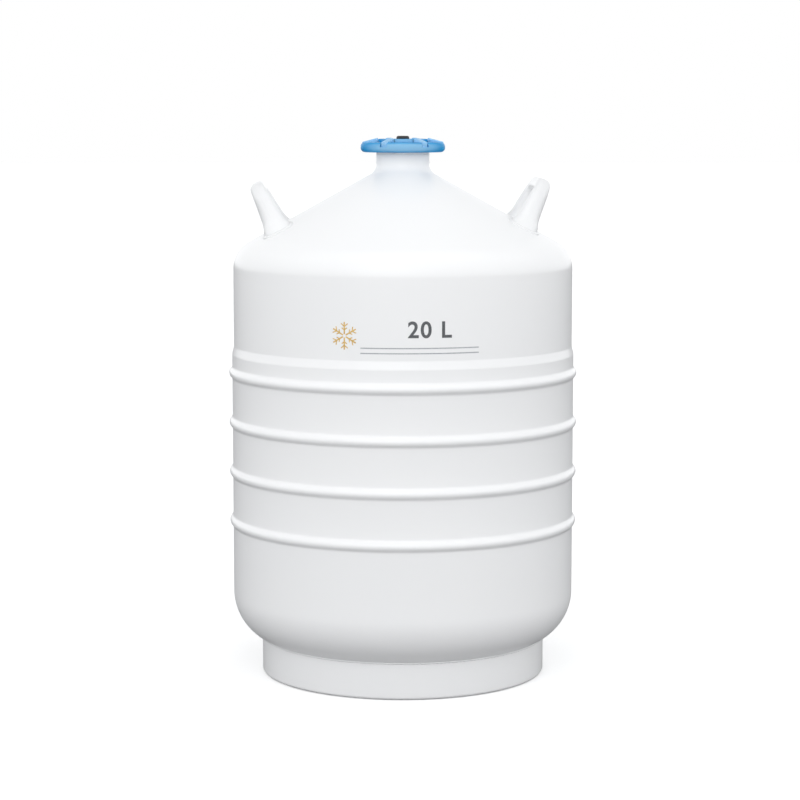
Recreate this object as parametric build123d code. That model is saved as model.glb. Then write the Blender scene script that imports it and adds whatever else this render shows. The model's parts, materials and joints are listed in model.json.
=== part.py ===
"""A 20 litre liquid nitrogen storage dewar, as separate physical pieces.

A spun aluminium outer shell in two halves stands on a foot ring and carries two cast handles.
A glass-fibre neck tube hangs the inner vessel inside it, wrapped in foil blankets, with vacuum
between. Six canisters hang from a slotted index ring on the neck, and a foam plug with a notched
lid closes the mouth.

Millimetres. +Z is up, the origin is the centre of the foot ring's underside, and +X is towards
the right handle.
"""

import os
from math import asin, cos, degrees, pi, radians, sin, sqrt, tan

from build123d import *

# Outer shell
SHELL_R = 197.0
SHELL_T = 2.0
KNUCKLE_R = 59.0
KNUCKLE_Z = 95.0
DISH_R = 700.0
SHOULDER_R = 34.0
CONE_ANGLE = 29.0
CONE_APEX_Z = 597.8
NECK_R = 30.5
NECK_FILLET_R = 13.0
NECK_TOP_Z = 600.0

# The upper half of the shell slips into the lower half above the top hoop, and is welded round its rim.
SEAM_Z = 371.0
SEAM_CLEARANCE = 0.1
LAP_H = 14.0

# Four hoops rolled into the lower half
HOOP_COUNT = 4
HOOP_TOP_Z = 350.0
HOOP_PITCH = 57.2
HOOP_PROUD = 3.7
HOOP_CROWN_R = 6.0
HOOP_FILLET_R = 5.0

# Foot ring
FOOT_R = 164.0
FOOT_T = 3.0
FOOT_LIP_W = 16.0
FOOT_LIP_T = 2.5
FOOT_CORNER_R = 4.0

# Cast handles, one each side on the cone. The right one is welded nearer the neck.
HANDLE_RIGHT_R = 137.0
HANDLE_LEFT_R = 144.6
HANDLE_LEAN = 25.8
HANDLE_H = 55.0
HANDLE_W_BASE = 110.0
HANDLE_W_TOP = 100.0
HANDLE_T_BASE = 28.0
HANDLE_T_TOP = 16.5
HANDLE_GRIP_H = 15.5
HANDLE_LEG_W = 17.0
HANDLE_CORNER_R = 20.0
HANDLE_GAP_R = 11.0
HANDLE_EDGE_R = 4.5
HANDLE_SINK = 20.0

# Neck: aluminium collar, glass-fibre tube, boss on the inner vessel
BORE_R = 25.0
TUBE_T = 1.5
TUBE_R = BORE_R + TUBE_T
BOND_GAP = 0.05
COLLAR_BOTTOM_Z = 568.0
COLLAR_FLANGE_H = 5.0
TUBE_TOP_Z = NECK_TOP_Z + COLLAR_FLANGE_H
BOSS_R = 34.0
BOSS_LIP_H = 2.0
BOSS_BELOW = 8.5
BOSS_ABOVE = 11.5

# Inner vessel: a cylinder with elliptical heads, as tall as its capacity needs
CAPACITY_L = 20.0
VESSEL_R = 152.0
VESSEL_T = 2.0
VESSEL_BOTTOM_Z = 70.0
HEAD_LOW = 60.0
HEAD_HIGH = 75.0
VESSEL_LOW_Z = VESSEL_BOTTOM_Z + HEAD_LOW
VESSEL_HIGH_Z = VESSEL_LOW_Z + CAPACITY_L * 1e6 / (pi * VESSEL_R**2) - 2 / 3 * (HEAD_LOW + HEAD_HIGH)
VESSEL_FLANGE_H = 15.0
VESSEL_TOP_Z = VESSEL_HIGH_Z + HEAD_HIGH

# Insulation and what keeps the vacuum
WRAP_COUNT = 4
WRAP_GAP = 0.3
WRAP_PITCH = 8.0
WRAP_T = 5.8
WRAP_HOLE_R = 36.0
SHIELD_TOP_Z = (560.0, 520.0, 480.0)
SHIELD_R = (95.0, 115.0, 130.0)
SHIELD_T = 0.6
POUCH_R = 62.0
POUCH_T = 7.2
POUCH_GAP = 0.2
GETTER_R = 7.0
GETTER_L = 24.0
GETTER_AT_R = 80.0
GETTER_GAP = 1.2

# Pump-out port on the back of the cone
PORT_AT_R = 118.0
PORT_R = 12.0
PORT_BORE_R = 9.0
PORT_IN = 8.0
PORT_OUT = 14.0
SEAL_PLUG_R = 8.9
SEAL_PLUG_BOTTOM = 1.0
SEAL_PLUG_TOP = 10.5
SEAL_GROOVE_Z = 5.2
SEAL_GROOVE_W = 2.6
SEAL_GROOVE_R = 6.75
O_RING_R = 7.88
O_RING_SECTION_R = 1.05
PORT_CAP_R = 15.0
PORT_CAP_BORE_R = 12.2
PORT_CAP_BOTTOM = 1.2
PORT_CAP_TOP = 17.5
PORT_CAP_ROOF = 2.6
PORT_CAP_FLUTES = 12
PORT_CAP_FLUTE_R = 1.1

# Index ring on the collar's flange, with a slot for each canister's handle
RING_R = 48.4
RING_BOTTOM_Z = NECK_TOP_Z + 2.0
RING_TOP_Z = RING_BOTTOM_Z + 11.5
RING_EDGE_R = 5.0
RING_SLOT_W = 8.4
RING_SLOT_FLOOR_Z = 608.0
RING_RECESS_IN_R = 34.5
RING_RECESS_OUT_R = 43.2
RING_RECESS_H = 4.0
RING_RIB_W = 2.2
RING_SOCKET_R = NECK_R + 0.08

# Canisters
CANISTERS = 6
CUP_R = 19.0
CUP_T = 0.8
CUP_H = 120.0
CUP_BOTTOM_Z = 80.0
CUP_TOP_Z = CUP_BOTTOM_Z + CUP_H
CUP_HOLE_R = 2.5
CUP_HOLE_ROWS = (15.0, 40.0, 65.0)
CUP_HOLE_ANGLES = (45, 135, 225, 315)
ROD_R = 1.5
ROD_AT_R = 22.9
ROD_BEND_R = 5.0
ROD_TOP_Z = 612.3
ROD_END_AT_R = 41.0
ROD_GAP = 0.04
CUP_AT_R = ROD_AT_R + ROD_R + ROD_GAP + CUP_R
STRAP_BOTTOM_Z = CUP_TOP_Z - 30.0
STRAP_H = 24.0
STRAP_T = 0.9
STRAP_ANGLE = 50.0
GRIP_W = 7.6
GRIP_IN_R = 28.2
GRIP_OUT_R = 46.6
GRIP_TOP_IN_Z = 618.6
GRIP_TOP_OUT_Z = 613.8
GRIP_EDGE_R = 1.4

# Locator that keeps the canisters apart at the bottom of the inner vessel: a hub with six radial fins
LOCATOR_HUB_R = 21.0
LOCATOR_FIN_R = 74.0
LOCATOR_T = 1.6
LOCATOR_TOP_Z = 94.0
LOCATOR_FOOT_GAP = 0.1

# Neck plug
LID_R = 28.4
LID_TOP_Z = 617.2
LID_NOTCH_W = 9.6
LID_NOTCH_IN_R = 20.9
LID_EDGE_R = 1.0
HUB_R = 20.2
HUB_BOTTOM_Z = 606.0
WELL_R = 15.5
WELL_Z = 610.5
FOAM_TOP_R = 20.2
FOAM_BOTTOM_R = 19.4
FOAM_BOTTOM_Z = 412.0
FOAM_CHAMFER = 4.0
STEM_R = 2.0
STEM_BOTTOM_Z = 405.0
STEM_TOP_Z = 616.0
WASHER_R = 9.0
WASHER_T = 1.5
NUT_FLATS = 7.0
NUT_H = 3.2
KNOB_R = 7.4
KNOB_WAIST_R = 4.8
KNOB_BASE_R = 6.2
KNOB_TOP_Z = 620.6
KNOB_EDGE_R = 2.2

# Worked out from the sizes above
SLOPE = radians(CONE_ANGLE)
KNUCKLE_CENTRE_R = SHELL_R - KNUCKLE_R
DISH_ANGLE = asin(KNUCKLE_CENTRE_R / (DISH_R - KNUCKLE_R))
DISH_CENTRE_Z = KNUCKLE_Z + sqrt((DISH_R - KNUCKLE_R) ** 2 - KNUCKLE_CENTRE_R**2)
UPPER_R = SHELL_R - SHELL_T - SEAM_CLEARANCE
SHOULDER_Z = CONE_APEX_Z - SHOULDER_R / cos(SLOPE) - (UPPER_R - SHOULDER_R) * tan(SLOPE)
NECK_FILLET_Z = CONE_APEX_Z + NECK_FILLET_R / cos(SLOPE) - (NECK_R + NECK_FILLET_R) * tan(SLOPE)


def cone_z(r):
    """Height of the outer shell's cone at a radius."""
    return CONE_APEX_Z - r * tan(SLOPE)


def section(*edges):
    """The face inside a closed loop of edges drawn with x as the radius and y as the height."""
    return make_face(Wire(list(ShapeList(e for group in edges for e in group.edges()))))


def turned(face):
    """A solid turned about Z from a face drawn with x as the radius and y as the height."""
    return revolve(Plane.XZ * face, Axis.Z)


def turned_outline(*points):
    """A solid turned about Z from the corners of its half section."""
    return turned(make_face(Polyline(*points, close=True)))


def around(count, shape, start=0.0):
    """Copies of a shape at equal angles about Z."""
    return [Rot(0, 0, start + 360 * k / count) * shape for k in range(count)]


def write(name, *solids):
    """One STEP file per node, holding each of its solids."""
    shapes = [s for shape in solids for s in shape.solids()]
    whole = shapes[0] if len(shapes) == 1 else Compound(children=shapes)
    whole.label = name
    export_step(whole, f"parts/{name}.step")
    return whole


def lower_path(inset):
    """The lower shell's surface at an inset from its outside, from the axis up to the seam."""
    r = SHELL_R - inset
    dish = DISH_R - inset
    dish_turn = degrees(DISH_ANGLE)
    path = [
        CenterArc((0, DISH_CENTRE_Z), dish, -90, dish_turn),
        CenterArc((KNUCKLE_CENTRE_R, KNUCKLE_Z), KNUCKLE_R - inset, dish_turn - 90, 90 - dish_turn),
    ]
    centres = HOOP_CROWN_R + HOOP_FILLET_R
    across = HOOP_FILLET_R + HOOP_CROWN_R - HOOP_PROUD
    up = sqrt(centres**2 - across**2)
    turn = degrees(asin(up / centres))
    crown_x = SHELL_R + HOOP_PROUD - HOOP_CROWN_R
    fillet_x = SHELL_R + HOOP_FILLET_R
    z = KNUCKLE_Z
    for k in reversed(range(HOOP_COUNT)):
        middle = HOOP_TOP_Z - k * HOOP_PITCH
        path.append(Line((r, z), (r, middle - up)))
        path.append(CenterArc((fillet_x, middle - up), HOOP_FILLET_R + inset, 180, -turn))
        path.append(CenterArc((crown_x, middle), HOOP_CROWN_R - inset, -turn, 2 * turn))
        path.append(CenterArc((fillet_x, middle + up), HOOP_FILLET_R + inset, 180 + turn, -turn))
        z = middle + up
    path.append(Line((r, z), (r, SEAM_Z)))
    return path


def flare_start(inset):
    """Where the neck's flare meets the cone, at an inset from the outside."""
    fillet = NECK_FILLET_R + inset
    return (NECK_R + NECK_FILLET_R - fillet * sin(SLOPE), NECK_FILLET_Z - fillet * cos(SLOPE))


def upper_path(inset):
    """The upper shell's surface at an inset, from inside the lap up to the neck's flare."""
    r = UPPER_R - inset
    shoulder = SHOULDER_R - inset
    shoulder_end = (
        UPPER_R - SHOULDER_R + shoulder * sin(SLOPE),
        SHOULDER_Z + shoulder * cos(SLOPE),
    )
    return [
        Line((r, SEAM_Z - LAP_H), (r, SHOULDER_Z)),
        CenterArc((UPPER_R - SHOULDER_R, SHOULDER_Z), shoulder, 0, 90 - CONE_ANGLE),
        Line(shoulder_end, flare_start(inset)),
    ]


def neck_path(inset):
    """The outer neck's surface at an inset from its outside, from the cone up to the rim."""
    turn = 90 - CONE_ANGLE
    return [
        CenterArc((NECK_R + NECK_FILLET_R, NECK_FILLET_Z), NECK_FILLET_R + inset, 180 + turn, -turn),
        Line((NECK_R - inset, NECK_FILLET_Z), (NECK_R - inset, NECK_TOP_Z)),
    ]


def wall_between(path):
    """The half section between the two faces of a sheet, closed at both of its ends."""
    outer = path(0)
    inner = path(SHELL_T)
    return section(*outer, *inner, Line(outer[0] @ 0, inner[0] @ 0), Line(outer[-1] @ 1, inner[-1] @ 1))


def port_place():
    """The frame of the pump-out port: on the cone's back, with z along the cone's normal."""
    return Pos(0, PORT_AT_R, cone_z(PORT_AT_R)) * Rot(-CONE_ANGLE, 0, 0)


def outer_shell():
    lower = turned(wall_between(lower_path))
    upper = turned(wall_between(upper_path))
    upper -= port_place() * Cylinder(PORT_R, 4 * PORT_OUT)
    neck = turned(wall_between(neck_path))
    return upper, lower, neck


def foot_ring():
    """A rolled ring with an inward lip at the floor, its top cut to the knuckle that it is welded to."""
    inner_r = FOOT_R - FOOT_T
    inner_corner = FOOT_CORNER_R - FOOT_LIP_T
    profile = section(
        Line((FOOT_R, KNUCKLE_Z / 2 + FOOT_CORNER_R), (FOOT_R, FOOT_CORNER_R)),
        CenterArc((FOOT_R - FOOT_CORNER_R, FOOT_CORNER_R), FOOT_CORNER_R, 0, -90),
        Polyline(
            (FOOT_R - FOOT_CORNER_R, 0),
            (FOOT_R - FOOT_LIP_W, 0),
            (FOOT_R - FOOT_LIP_W, FOOT_LIP_T),
            (inner_r - inner_corner, FOOT_LIP_T),
        ),
        CenterArc((inner_r - inner_corner, FOOT_LIP_T + inner_corner), inner_corner, -90, 90),
        Polyline(
            (inner_r, FOOT_LIP_T + inner_corner),
            (inner_r, KNUCKLE_Z / 2 + FOOT_CORNER_R),
            (FOOT_R, KNUCKLE_Z / 2 + FOOT_CORNER_R),
        ),
    )
    return turned(profile - Pos(KNUCKLE_CENTRE_R, KNUCKLE_Z) * Circle(KNUCKLE_R))


def handle(base_r):
    """A handle on the +X side: a cast bow that leans outwards and thickens towards its feet."""
    half_base, half_top = HANDLE_W_BASE / 2, HANDLE_W_TOP / 2
    splay = (half_base - half_top) / HANDLE_H
    low = half_base + splay * HANDLE_SINK
    outline = Polyline(
        (-low, -HANDLE_SINK),
        (low, -HANDLE_SINK),
        (half_top, HANDLE_H),
        (-half_top, HANDLE_H),
        close=True,
    )
    bow = make_face(outline)
    bow = fillet(bow.vertices().group_by(Axis.Y)[-1], HANDLE_CORNER_R)
    gap_top = HANDLE_H - HANDLE_GRIP_H
    gap_low, gap_high = low - HANDLE_LEG_W, half_top - HANDLE_LEG_W + splay * HANDLE_GRIP_H
    gap = make_face(
        Polyline(
            (-gap_low, -HANDLE_SINK - 1),
            (gap_low, -HANDLE_SINK - 1),
            (gap_high, gap_top),
            (-gap_high, gap_top),
            close=True,
        )
    )
    gap = fillet(gap.vertices().group_by(Axis.Y)[-1], HANDLE_GAP_R)
    blank = extrude(Plane.YZ * (bow - gap), HANDLE_T_BASE, both=True)
    taper = (HANDLE_T_BASE - HANDLE_T_TOP) / 2 / HANDLE_H
    thick_low = HANDLE_T_BASE / 2 + taper * HANDLE_SINK
    wedge_face = make_face(
        Polyline(
            (-thick_low, -HANDLE_SINK),
            (thick_low, -HANDLE_SINK),
            (HANDLE_T_TOP / 2, HANDLE_H),
            (-HANDLE_T_TOP / 2, HANDLE_H),
            close=True,
        )
    )
    casting = blank & extrude(Plane.XZ * wedge_face, HANDLE_W_BASE, both=True)
    foot_edges = casting.edges().group_by(Axis.Z)[0]
    rounded = [e for e in casting.edges() if e not in foot_edges]
    casting = fillet(rounded, HANDLE_EDGE_R)
    casting = Pos(base_r, 0, cone_z(base_r)) * Rot(0, HANDLE_LEAN, 0) * casting
    body = turned_outline(
        (0, 0),
        (SHELL_R, 0),
        (SHELL_R, cone_z(SHELL_R)),
        (0, CONE_APEX_Z),
    )
    return (casting - body).solids().sort_by(SortBy.VOLUME)[-1]


def vessel_section(offset):
    """Half section of the space in the inner vessel, grown by an offset."""
    r = VESSEL_R + offset
    body = Pos(r / 2, (VESSEL_LOW_Z + VESSEL_HIGH_Z) / 2) * Rectangle(r, VESSEL_HIGH_Z - VESSEL_LOW_Z)
    right = Pos(r, VESSEL_LOW_Z) * Rectangle(2 * r, 4 * VESSEL_TOP_Z)
    low = Pos(0, VESSEL_LOW_Z) * Ellipse(r, HEAD_LOW + offset) & right
    high = Pos(0, VESSEL_HIGH_Z) * Ellipse(r, HEAD_HIGH + offset) & right
    return body + low + high


def band(r_low, r_high, z_low, z_high):
    """A rectangle of the half section."""
    return Pos((r_low + r_high) / 2, (z_low + z_high) / 2) * Rectangle(r_high - r_low, z_high - z_low)


def inner_vessel():
    """The upper head, the rolled wall and the lower head, each head with a short straight flange."""
    sheet = vessel_section(VESSEL_T) - vessel_section(0)
    beyond = 2 * VESSEL_R
    low_seam = VESSEL_LOW_Z + VESSEL_FLANGE_H
    high_seam = VESSEL_HIGH_Z - VESSEL_FLANGE_H
    upper = turned(sheet & band(BOSS_R, beyond, high_seam, 2 * VESSEL_TOP_Z))
    wall = turned(sheet & band(0, beyond, low_seam, high_seam))
    lower = turned(sheet & band(0, beyond, 0, low_seam))
    return upper, wall, lower


def insulation_wrap(index):
    """A foil blanket round the inner vessel. The first is cut away round the adsorbent pouch."""
    start = VESSEL_T + WRAP_GAP + index * WRAP_PITCH
    blanket = vessel_section(start + WRAP_T) - vessel_section(start)
    blanket -= band(0, WRAP_HOLE_R, VESSEL_HIGH_Z, 2 * VESSEL_TOP_Z)
    if index == 0:
        blanket -= band(0, POUCH_R + POUCH_GAP, 0, VESSEL_LOW_Z)
    return turned(blanket)


def neck_collar():
    return turned_outline(
        (TUBE_R + BOND_GAP, COLLAR_BOTTOM_Z),
        (NECK_R - SHELL_T - BOND_GAP, COLLAR_BOTTOM_Z),
        (NECK_R - SHELL_T - BOND_GAP, NECK_TOP_Z),
        (NECK_R, NECK_TOP_Z),
        (NECK_R, TUBE_TOP_Z),
        (TUBE_R + BOND_GAP, TUBE_TOP_Z),
    )


def neck_tube():
    bottom = VESSEL_TOP_Z - BOSS_BELOW + BOSS_LIP_H
    return turned(band(BORE_R, TUBE_R, bottom, TUBE_TOP_Z))


def inner_neck_boss():
    bottom = VESSEL_TOP_Z - BOSS_BELOW
    return turned_outline(
        (BORE_R, bottom),
        (BOSS_R, bottom),
        (BOSS_R, VESSEL_TOP_Z + BOSS_ABOVE),
        (TUBE_R + BOND_GAP, VESSEL_TOP_Z + BOSS_ABOVE),
        (TUBE_R + BOND_GAP, bottom + BOSS_LIP_H),
        (BORE_R, bottom + BOSS_LIP_H),
    )


def neck_radiation_shields():
    """Thin foil cones bonded to the neck tube."""
    cones = []
    for top, rim in zip(SHIELD_TOP_Z, SHIELD_R):
        start = TUBE_R + BOND_GAP
        drop = (rim - start) * tan(SLOPE)
        cone = turned_outline(
            (start, top),
            (rim, top - drop),
            (rim, top - drop - SHIELD_T),
            (start, top - SHIELD_T),
        )
        cones.append(cone)
    return cones


def adsorbent_pouch():
    """A shallow pouch held against the underside of the inner vessel."""
    start = VESSEL_T + POUCH_GAP
    layer = vessel_section(start + POUCH_T) - vessel_section(start)
    return turned(layer & band(0, POUCH_R, 0, VESSEL_LOW_Z))


def getter_capsule():
    below = SHELL_T + GETTER_GAP + GETTER_R
    y = GETTER_AT_R - below * sin(SLOPE)
    z = cone_z(GETTER_AT_R) - below * cos(SLOPE)
    capsule = Cylinder(GETTER_R, GETTER_L)
    capsule = fillet(capsule.edges(), 1.5)
    return Pos(0, y, z) * Rot(0, 90, 0) * capsule


def vacuum_port():
    """The stub, its seal plug and O-ring, and the cap over them."""
    place = port_place()
    stub = turned(band(PORT_BORE_R, PORT_R, -PORT_IN, PORT_OUT))
    plug = turned_outline(
        (0, SEAL_PLUG_BOTTOM),
        (SEAL_PLUG_R, SEAL_PLUG_BOTTOM),
        (SEAL_PLUG_R, SEAL_GROOVE_Z - SEAL_GROOVE_W / 2),
        (SEAL_GROOVE_R, SEAL_GROOVE_Z - SEAL_GROOVE_W / 2),
        (SEAL_GROOVE_R, SEAL_GROOVE_Z + SEAL_GROOVE_W / 2),
        (SEAL_PLUG_R, SEAL_GROOVE_Z + SEAL_GROOVE_W / 2),
        (SEAL_PLUG_R, SEAL_PLUG_TOP),
        (STEM_R, SEAL_PLUG_TOP),
        (STEM_R, SEAL_PLUG_TOP - 5),
        (0, SEAL_PLUG_TOP - 5),
    )
    o_ring = turned(Pos(O_RING_R, SEAL_GROOVE_Z) * Circle(O_RING_SECTION_R))
    cap_outline = make_face(
        Polyline(
            (0, PORT_CAP_TOP),
            (PORT_CAP_R, PORT_CAP_TOP),
            (PORT_CAP_R, PORT_CAP_BOTTOM),
            (PORT_CAP_BORE_R, PORT_CAP_BOTTOM),
            (PORT_CAP_BORE_R, PORT_CAP_TOP - PORT_CAP_ROOF),
            (0, PORT_CAP_TOP - PORT_CAP_ROOF),
            close=True,
        )
    )
    cap = turned(cap_outline)
    rim = cap.edges().filter_by(GeomType.CIRCLE).group_by(Axis.Z)[-1]
    cap = fillet(rim, 2.0)
    flute = Pos(PORT_CAP_R + 0.3, 0, PORT_CAP_BOTTOM + 5) * Cylinder(PORT_CAP_FLUTE_R, 22)
    for one in around(PORT_CAP_FLUTES, flute):
        cap -= one
    return [place * shape for shape in (stub, plug, o_ring, cap)]


def neck_index_ring():
    """The moulded ring on the neck, recessed and ribbed below, slotted above for the canisters' grips."""
    blank = turned_outline(
        (BORE_R, TUBE_TOP_Z),
        (RING_SOCKET_R, TUBE_TOP_Z),
        (RING_SOCKET_R, RING_BOTTOM_Z),
        (RING_R, RING_BOTTOM_Z),
        (RING_R, RING_TOP_Z),
        (BORE_R, RING_TOP_Z),
    )
    outer_edges = [e for e in blank.edges().filter_by(GeomType.CIRCLE) if abs(e.radius - RING_R) < 0.01]
    ring = fillet(outer_edges, RING_EDGE_R)
    recess_top = RING_BOTTOM_Z + RING_RECESS_H
    recess = turned(band(RING_RECESS_IN_R, RING_RECESS_OUT_R, RING_BOTTOM_Z - 1, recess_top))
    rib = Pos(RING_R - 10, 0, RING_BOTTOM_Z) * Box(20, RING_RIB_W, 3 * RING_RECESS_H)
    for one in around(2 * CANISTERS, rib, start=180 / (2 * CANISTERS)):
        recess -= one
    ring -= recess
    slot = Pos(RING_R, 0, RING_SLOT_FLOOR_Z + 10) * Box(2 * (RING_R - BORE_R) + 8, RING_SLOT_W, 20)
    for one in around(CANISTERS, slot):
        ring -= one
    return ring


def plug_lid():
    """The notched lid on the plug, with a finger well round the knob."""
    lid = turned_outline(
        (0, HUB_BOTTOM_Z),
        (HUB_R, HUB_BOTTOM_Z),
        (HUB_R, RING_TOP_Z),
        (LID_R, RING_TOP_Z),
        (LID_R, LID_TOP_Z),
        (WELL_R, LID_TOP_Z),
        (WELL_R, WELL_Z),
        (0, WELL_Z),
    )
    notch = Pos(LID_NOTCH_IN_R + 10, 0, LID_TOP_Z) * Box(20, LID_NOTCH_W, 20)
    for one in around(CANISTERS, notch):
        lid -= one
    lid -= Pos(0, 0, HUB_BOTTOM_Z) * Cylinder(STEM_R, 20)
    top_edges = [e for e in lid.edges() if abs(e.center().Z - LID_TOP_Z) < 0.01]
    return fillet(top_edges, LID_EDGE_R)


def plug_foam():
    foam = turned_outline(
        (STEM_R, FOAM_BOTTOM_Z),
        (FOAM_BOTTOM_R - FOAM_CHAMFER, FOAM_BOTTOM_Z),
        (FOAM_BOTTOM_R, FOAM_BOTTOM_Z + FOAM_CHAMFER),
        (FOAM_TOP_R, HUB_BOTTOM_Z),
        (STEM_R, HUB_BOTTOM_Z),
    )
    return foam


def plug_knob():
    knob = turned_outline(
        (0, WELL_Z),
        (KNOB_BASE_R, WELL_Z),
        (KNOB_BASE_R, WELL_Z + 1.5),
        (KNOB_WAIST_R, WELL_Z + 3.0),
        (KNOB_WAIST_R, WELL_Z + 4.5),
        (KNOB_R, WELL_Z + 6.6),
        (KNOB_R, KNOB_TOP_Z),
        (0, KNOB_TOP_Z),
    )
    knob = fillet(knob.edges().filter_by(GeomType.CIRCLE).group_by(Axis.Z)[-1], KNOB_EDGE_R)
    return knob - Pos(0, 0, STEM_TOP_Z - 10) * Cylinder(STEM_R, 20)


def plug_fixings():
    """The threaded stem through the foam, with the washer and nut under it."""
    stem = Pos(0, 0, (STEM_BOTTOM_Z + STEM_TOP_Z) / 2) * Cylinder(STEM_R, STEM_TOP_Z - STEM_BOTTOM_Z)
    washer = turned(band(STEM_R, WASHER_R, FOAM_BOTTOM_Z - WASHER_T, FOAM_BOTTOM_Z))
    hexagon = RegularPolygon(NUT_FLATS / 2, 6, major_radius=False) - Circle(STEM_R)
    nut = Pos(0, 0, FOAM_BOTTOM_Z - WASHER_T - NUT_H) * extrude(hexagon, NUT_H)
    return stem, washer, nut


def canister_locator():
    """A hub and six fins that stand on the vessel's lower head, each fin between two canisters."""
    head_z = VESSEL_LOW_Z - HEAD_LOW * sqrt(1 - (LOCATOR_FIN_R / VESSEL_R) ** 2) + LOCATOR_FOOT_GAP
    height = LOCATOR_TOP_Z - head_z
    hub = turned(band(LOCATOR_HUB_R - LOCATOR_T, LOCATOR_HUB_R, head_z, LOCATOR_TOP_Z))
    length = LOCATOR_FIN_R - LOCATOR_HUB_R
    fin = Pos(LOCATOR_HUB_R + length / 2, 0, head_z + height / 2) * Box(length, LOCATOR_T, height)
    fin -= Cylinder(LOCATOR_HUB_R, 4 * LOCATOR_TOP_Z)
    return hub, around(CANISTERS, fin, start=180 / CANISTERS)


def canister():
    """The canister on +X: a perforated cup, its hanging rod, and the grip in the ring's slot."""
    inner = CUP_R - CUP_T
    cup = Cylinder(CUP_R, CUP_H) - Pos(0, 0, CUP_T) * Cylinder(inner, CUP_H)
    cup = Pos(0, 0, CUP_BOTTOM_Z + CUP_H / 2) * cup
    for angle in CUP_HOLE_ANGLES:
        for height in CUP_HOLE_ROWS:
            drain = Pos(CUP_R, 0, CUP_BOTTOM_Z + height) * Rot(0, 90, 0) * Cylinder(CUP_HOLE_R, 8)
            cup -= Rot(0, 0, angle) * drain
    for hole in [Pos(0, 0, CUP_BOTTOM_Z), *around(4, Pos(11, 0, CUP_BOTTOM_Z), start=45)]:
        cup -= hole * Cylinder(CUP_HOLE_R, 6)
    cup = Pos(CUP_AT_R, 0, 0) * cup

    rod_start, rod_corner = (ROD_AT_R, 0, STRAP_BOTTOM_Z), (ROD_AT_R, 0, ROD_TOP_Z)
    path = FilletPolyline(rod_start, rod_corner, (ROD_END_AT_R, 0, ROD_TOP_Z), radius=ROD_BEND_R)
    rod = sweep(Plane(rod_start, z_dir=(0, 0, 1)) * Circle(ROD_R), path)
    strap_r = CUP_R + ROD_GAP
    strap_ring = Cylinder(strap_r + STRAP_T, STRAP_H) - Cylinder(strap_r, STRAP_H)
    reach = 2 * CUP_R
    half = radians(STRAP_ANGLE / 2)
    spread = reach * tan(half)
    triangle = Polyline((0, 0), (-reach, -spread), (-reach, spread), close=True)
    wedge = extrude(make_face(triangle), STRAP_H)
    strap = strap_ring & Pos(0, 0, -STRAP_H / 2) * wedge
    strap = Pos(CUP_AT_R, 0, STRAP_BOTTOM_Z + STRAP_H / 2) * strap
    hanger = rod + strap

    side = make_face(
        Polyline(
            (GRIP_IN_R, RING_SLOT_FLOOR_Z),
            (GRIP_OUT_R, RING_SLOT_FLOOR_Z),
            (GRIP_OUT_R, GRIP_TOP_OUT_Z),
            (GRIP_IN_R, GRIP_TOP_IN_Z),
            close=True,
        )
    )
    grip = extrude(Plane.XZ * side, GRIP_W / 2, both=True)
    upper_edges = [e for e in grip.edges() if e.center().Z > RING_SLOT_FLOOR_Z + 1]
    grip = fillet(upper_edges, GRIP_EDGE_R) - rod
    return cup, hanger, grip


def main():
    os.makedirs("parts", exist_ok=True)
    upper, lower, neck = outer_shell()
    write("outer_shell_upper", upper)
    write("outer_shell_lower", lower)
    write("outer_neck", neck)
    write("foot_ring", foot_ring())
    write("handle_right", handle(HANDLE_RIGHT_R))
    write("handle_left", Rot(0, 0, 180) * handle(HANDLE_LEFT_R))

    write("neck_collar", neck_collar())
    write("neck_tube", neck_tube())
    write("inner_neck_boss", inner_neck_boss())
    upper, wall, lower = inner_vessel()
    write("inner_vessel_upper_head", upper)
    write("inner_vessel_wall", wall)
    write("inner_vessel_lower_head", lower)
    for k in range(WRAP_COUNT):
        write(f"insulation_wrap_{k + 1}", insulation_wrap(k))
    write("neck_radiation_shields", *neck_radiation_shields())
    write("adsorbent_pouch", adsorbent_pouch())
    write("getter_capsule", getter_capsule())

    stub, plug, o_ring, cap = vacuum_port()
    write("vacuum_port_stub", stub)
    write("vacuum_seal_plug", plug)
    write("vacuum_seal_o_ring", o_ring)
    write("vacuum_port_cap", cap)

    write("neck_index_ring", neck_index_ring())
    write("plug_lid", plug_lid())
    write("plug_foam", plug_foam())
    write("plug_knob", plug_knob())
    stem, washer, nut = plug_fixings()
    write("plug_stem", stem)
    write("plug_end_washer", washer)
    write("plug_end_nut", nut)

    hub, fins = canister_locator()
    write("canister_locator_hub", hub)
    write("canister_locator_fins", *fins)
    for k, turn in enumerate(around(CANISTERS, Pos(0, 0, 0))):
        cup, hanger, grip = (turn * piece for piece in canister())
        write(f"canister_{k + 1}_cup", cup)
        write(f"canister_{k + 1}_rod", hanger)
        write(f"canister_{k + 1}_grip", grip)


main()
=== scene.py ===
"""The look of a 20 litre liquid nitrogen dewar: enamelled shell, welds, neck ring, print, studio."""

import json
from math import asin, atan2, copysign, cos, degrees, pi, radians, sin, sqrt, tan

import bmesh
import bpy
from mathutils import Matrix, Vector, noise


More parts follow.
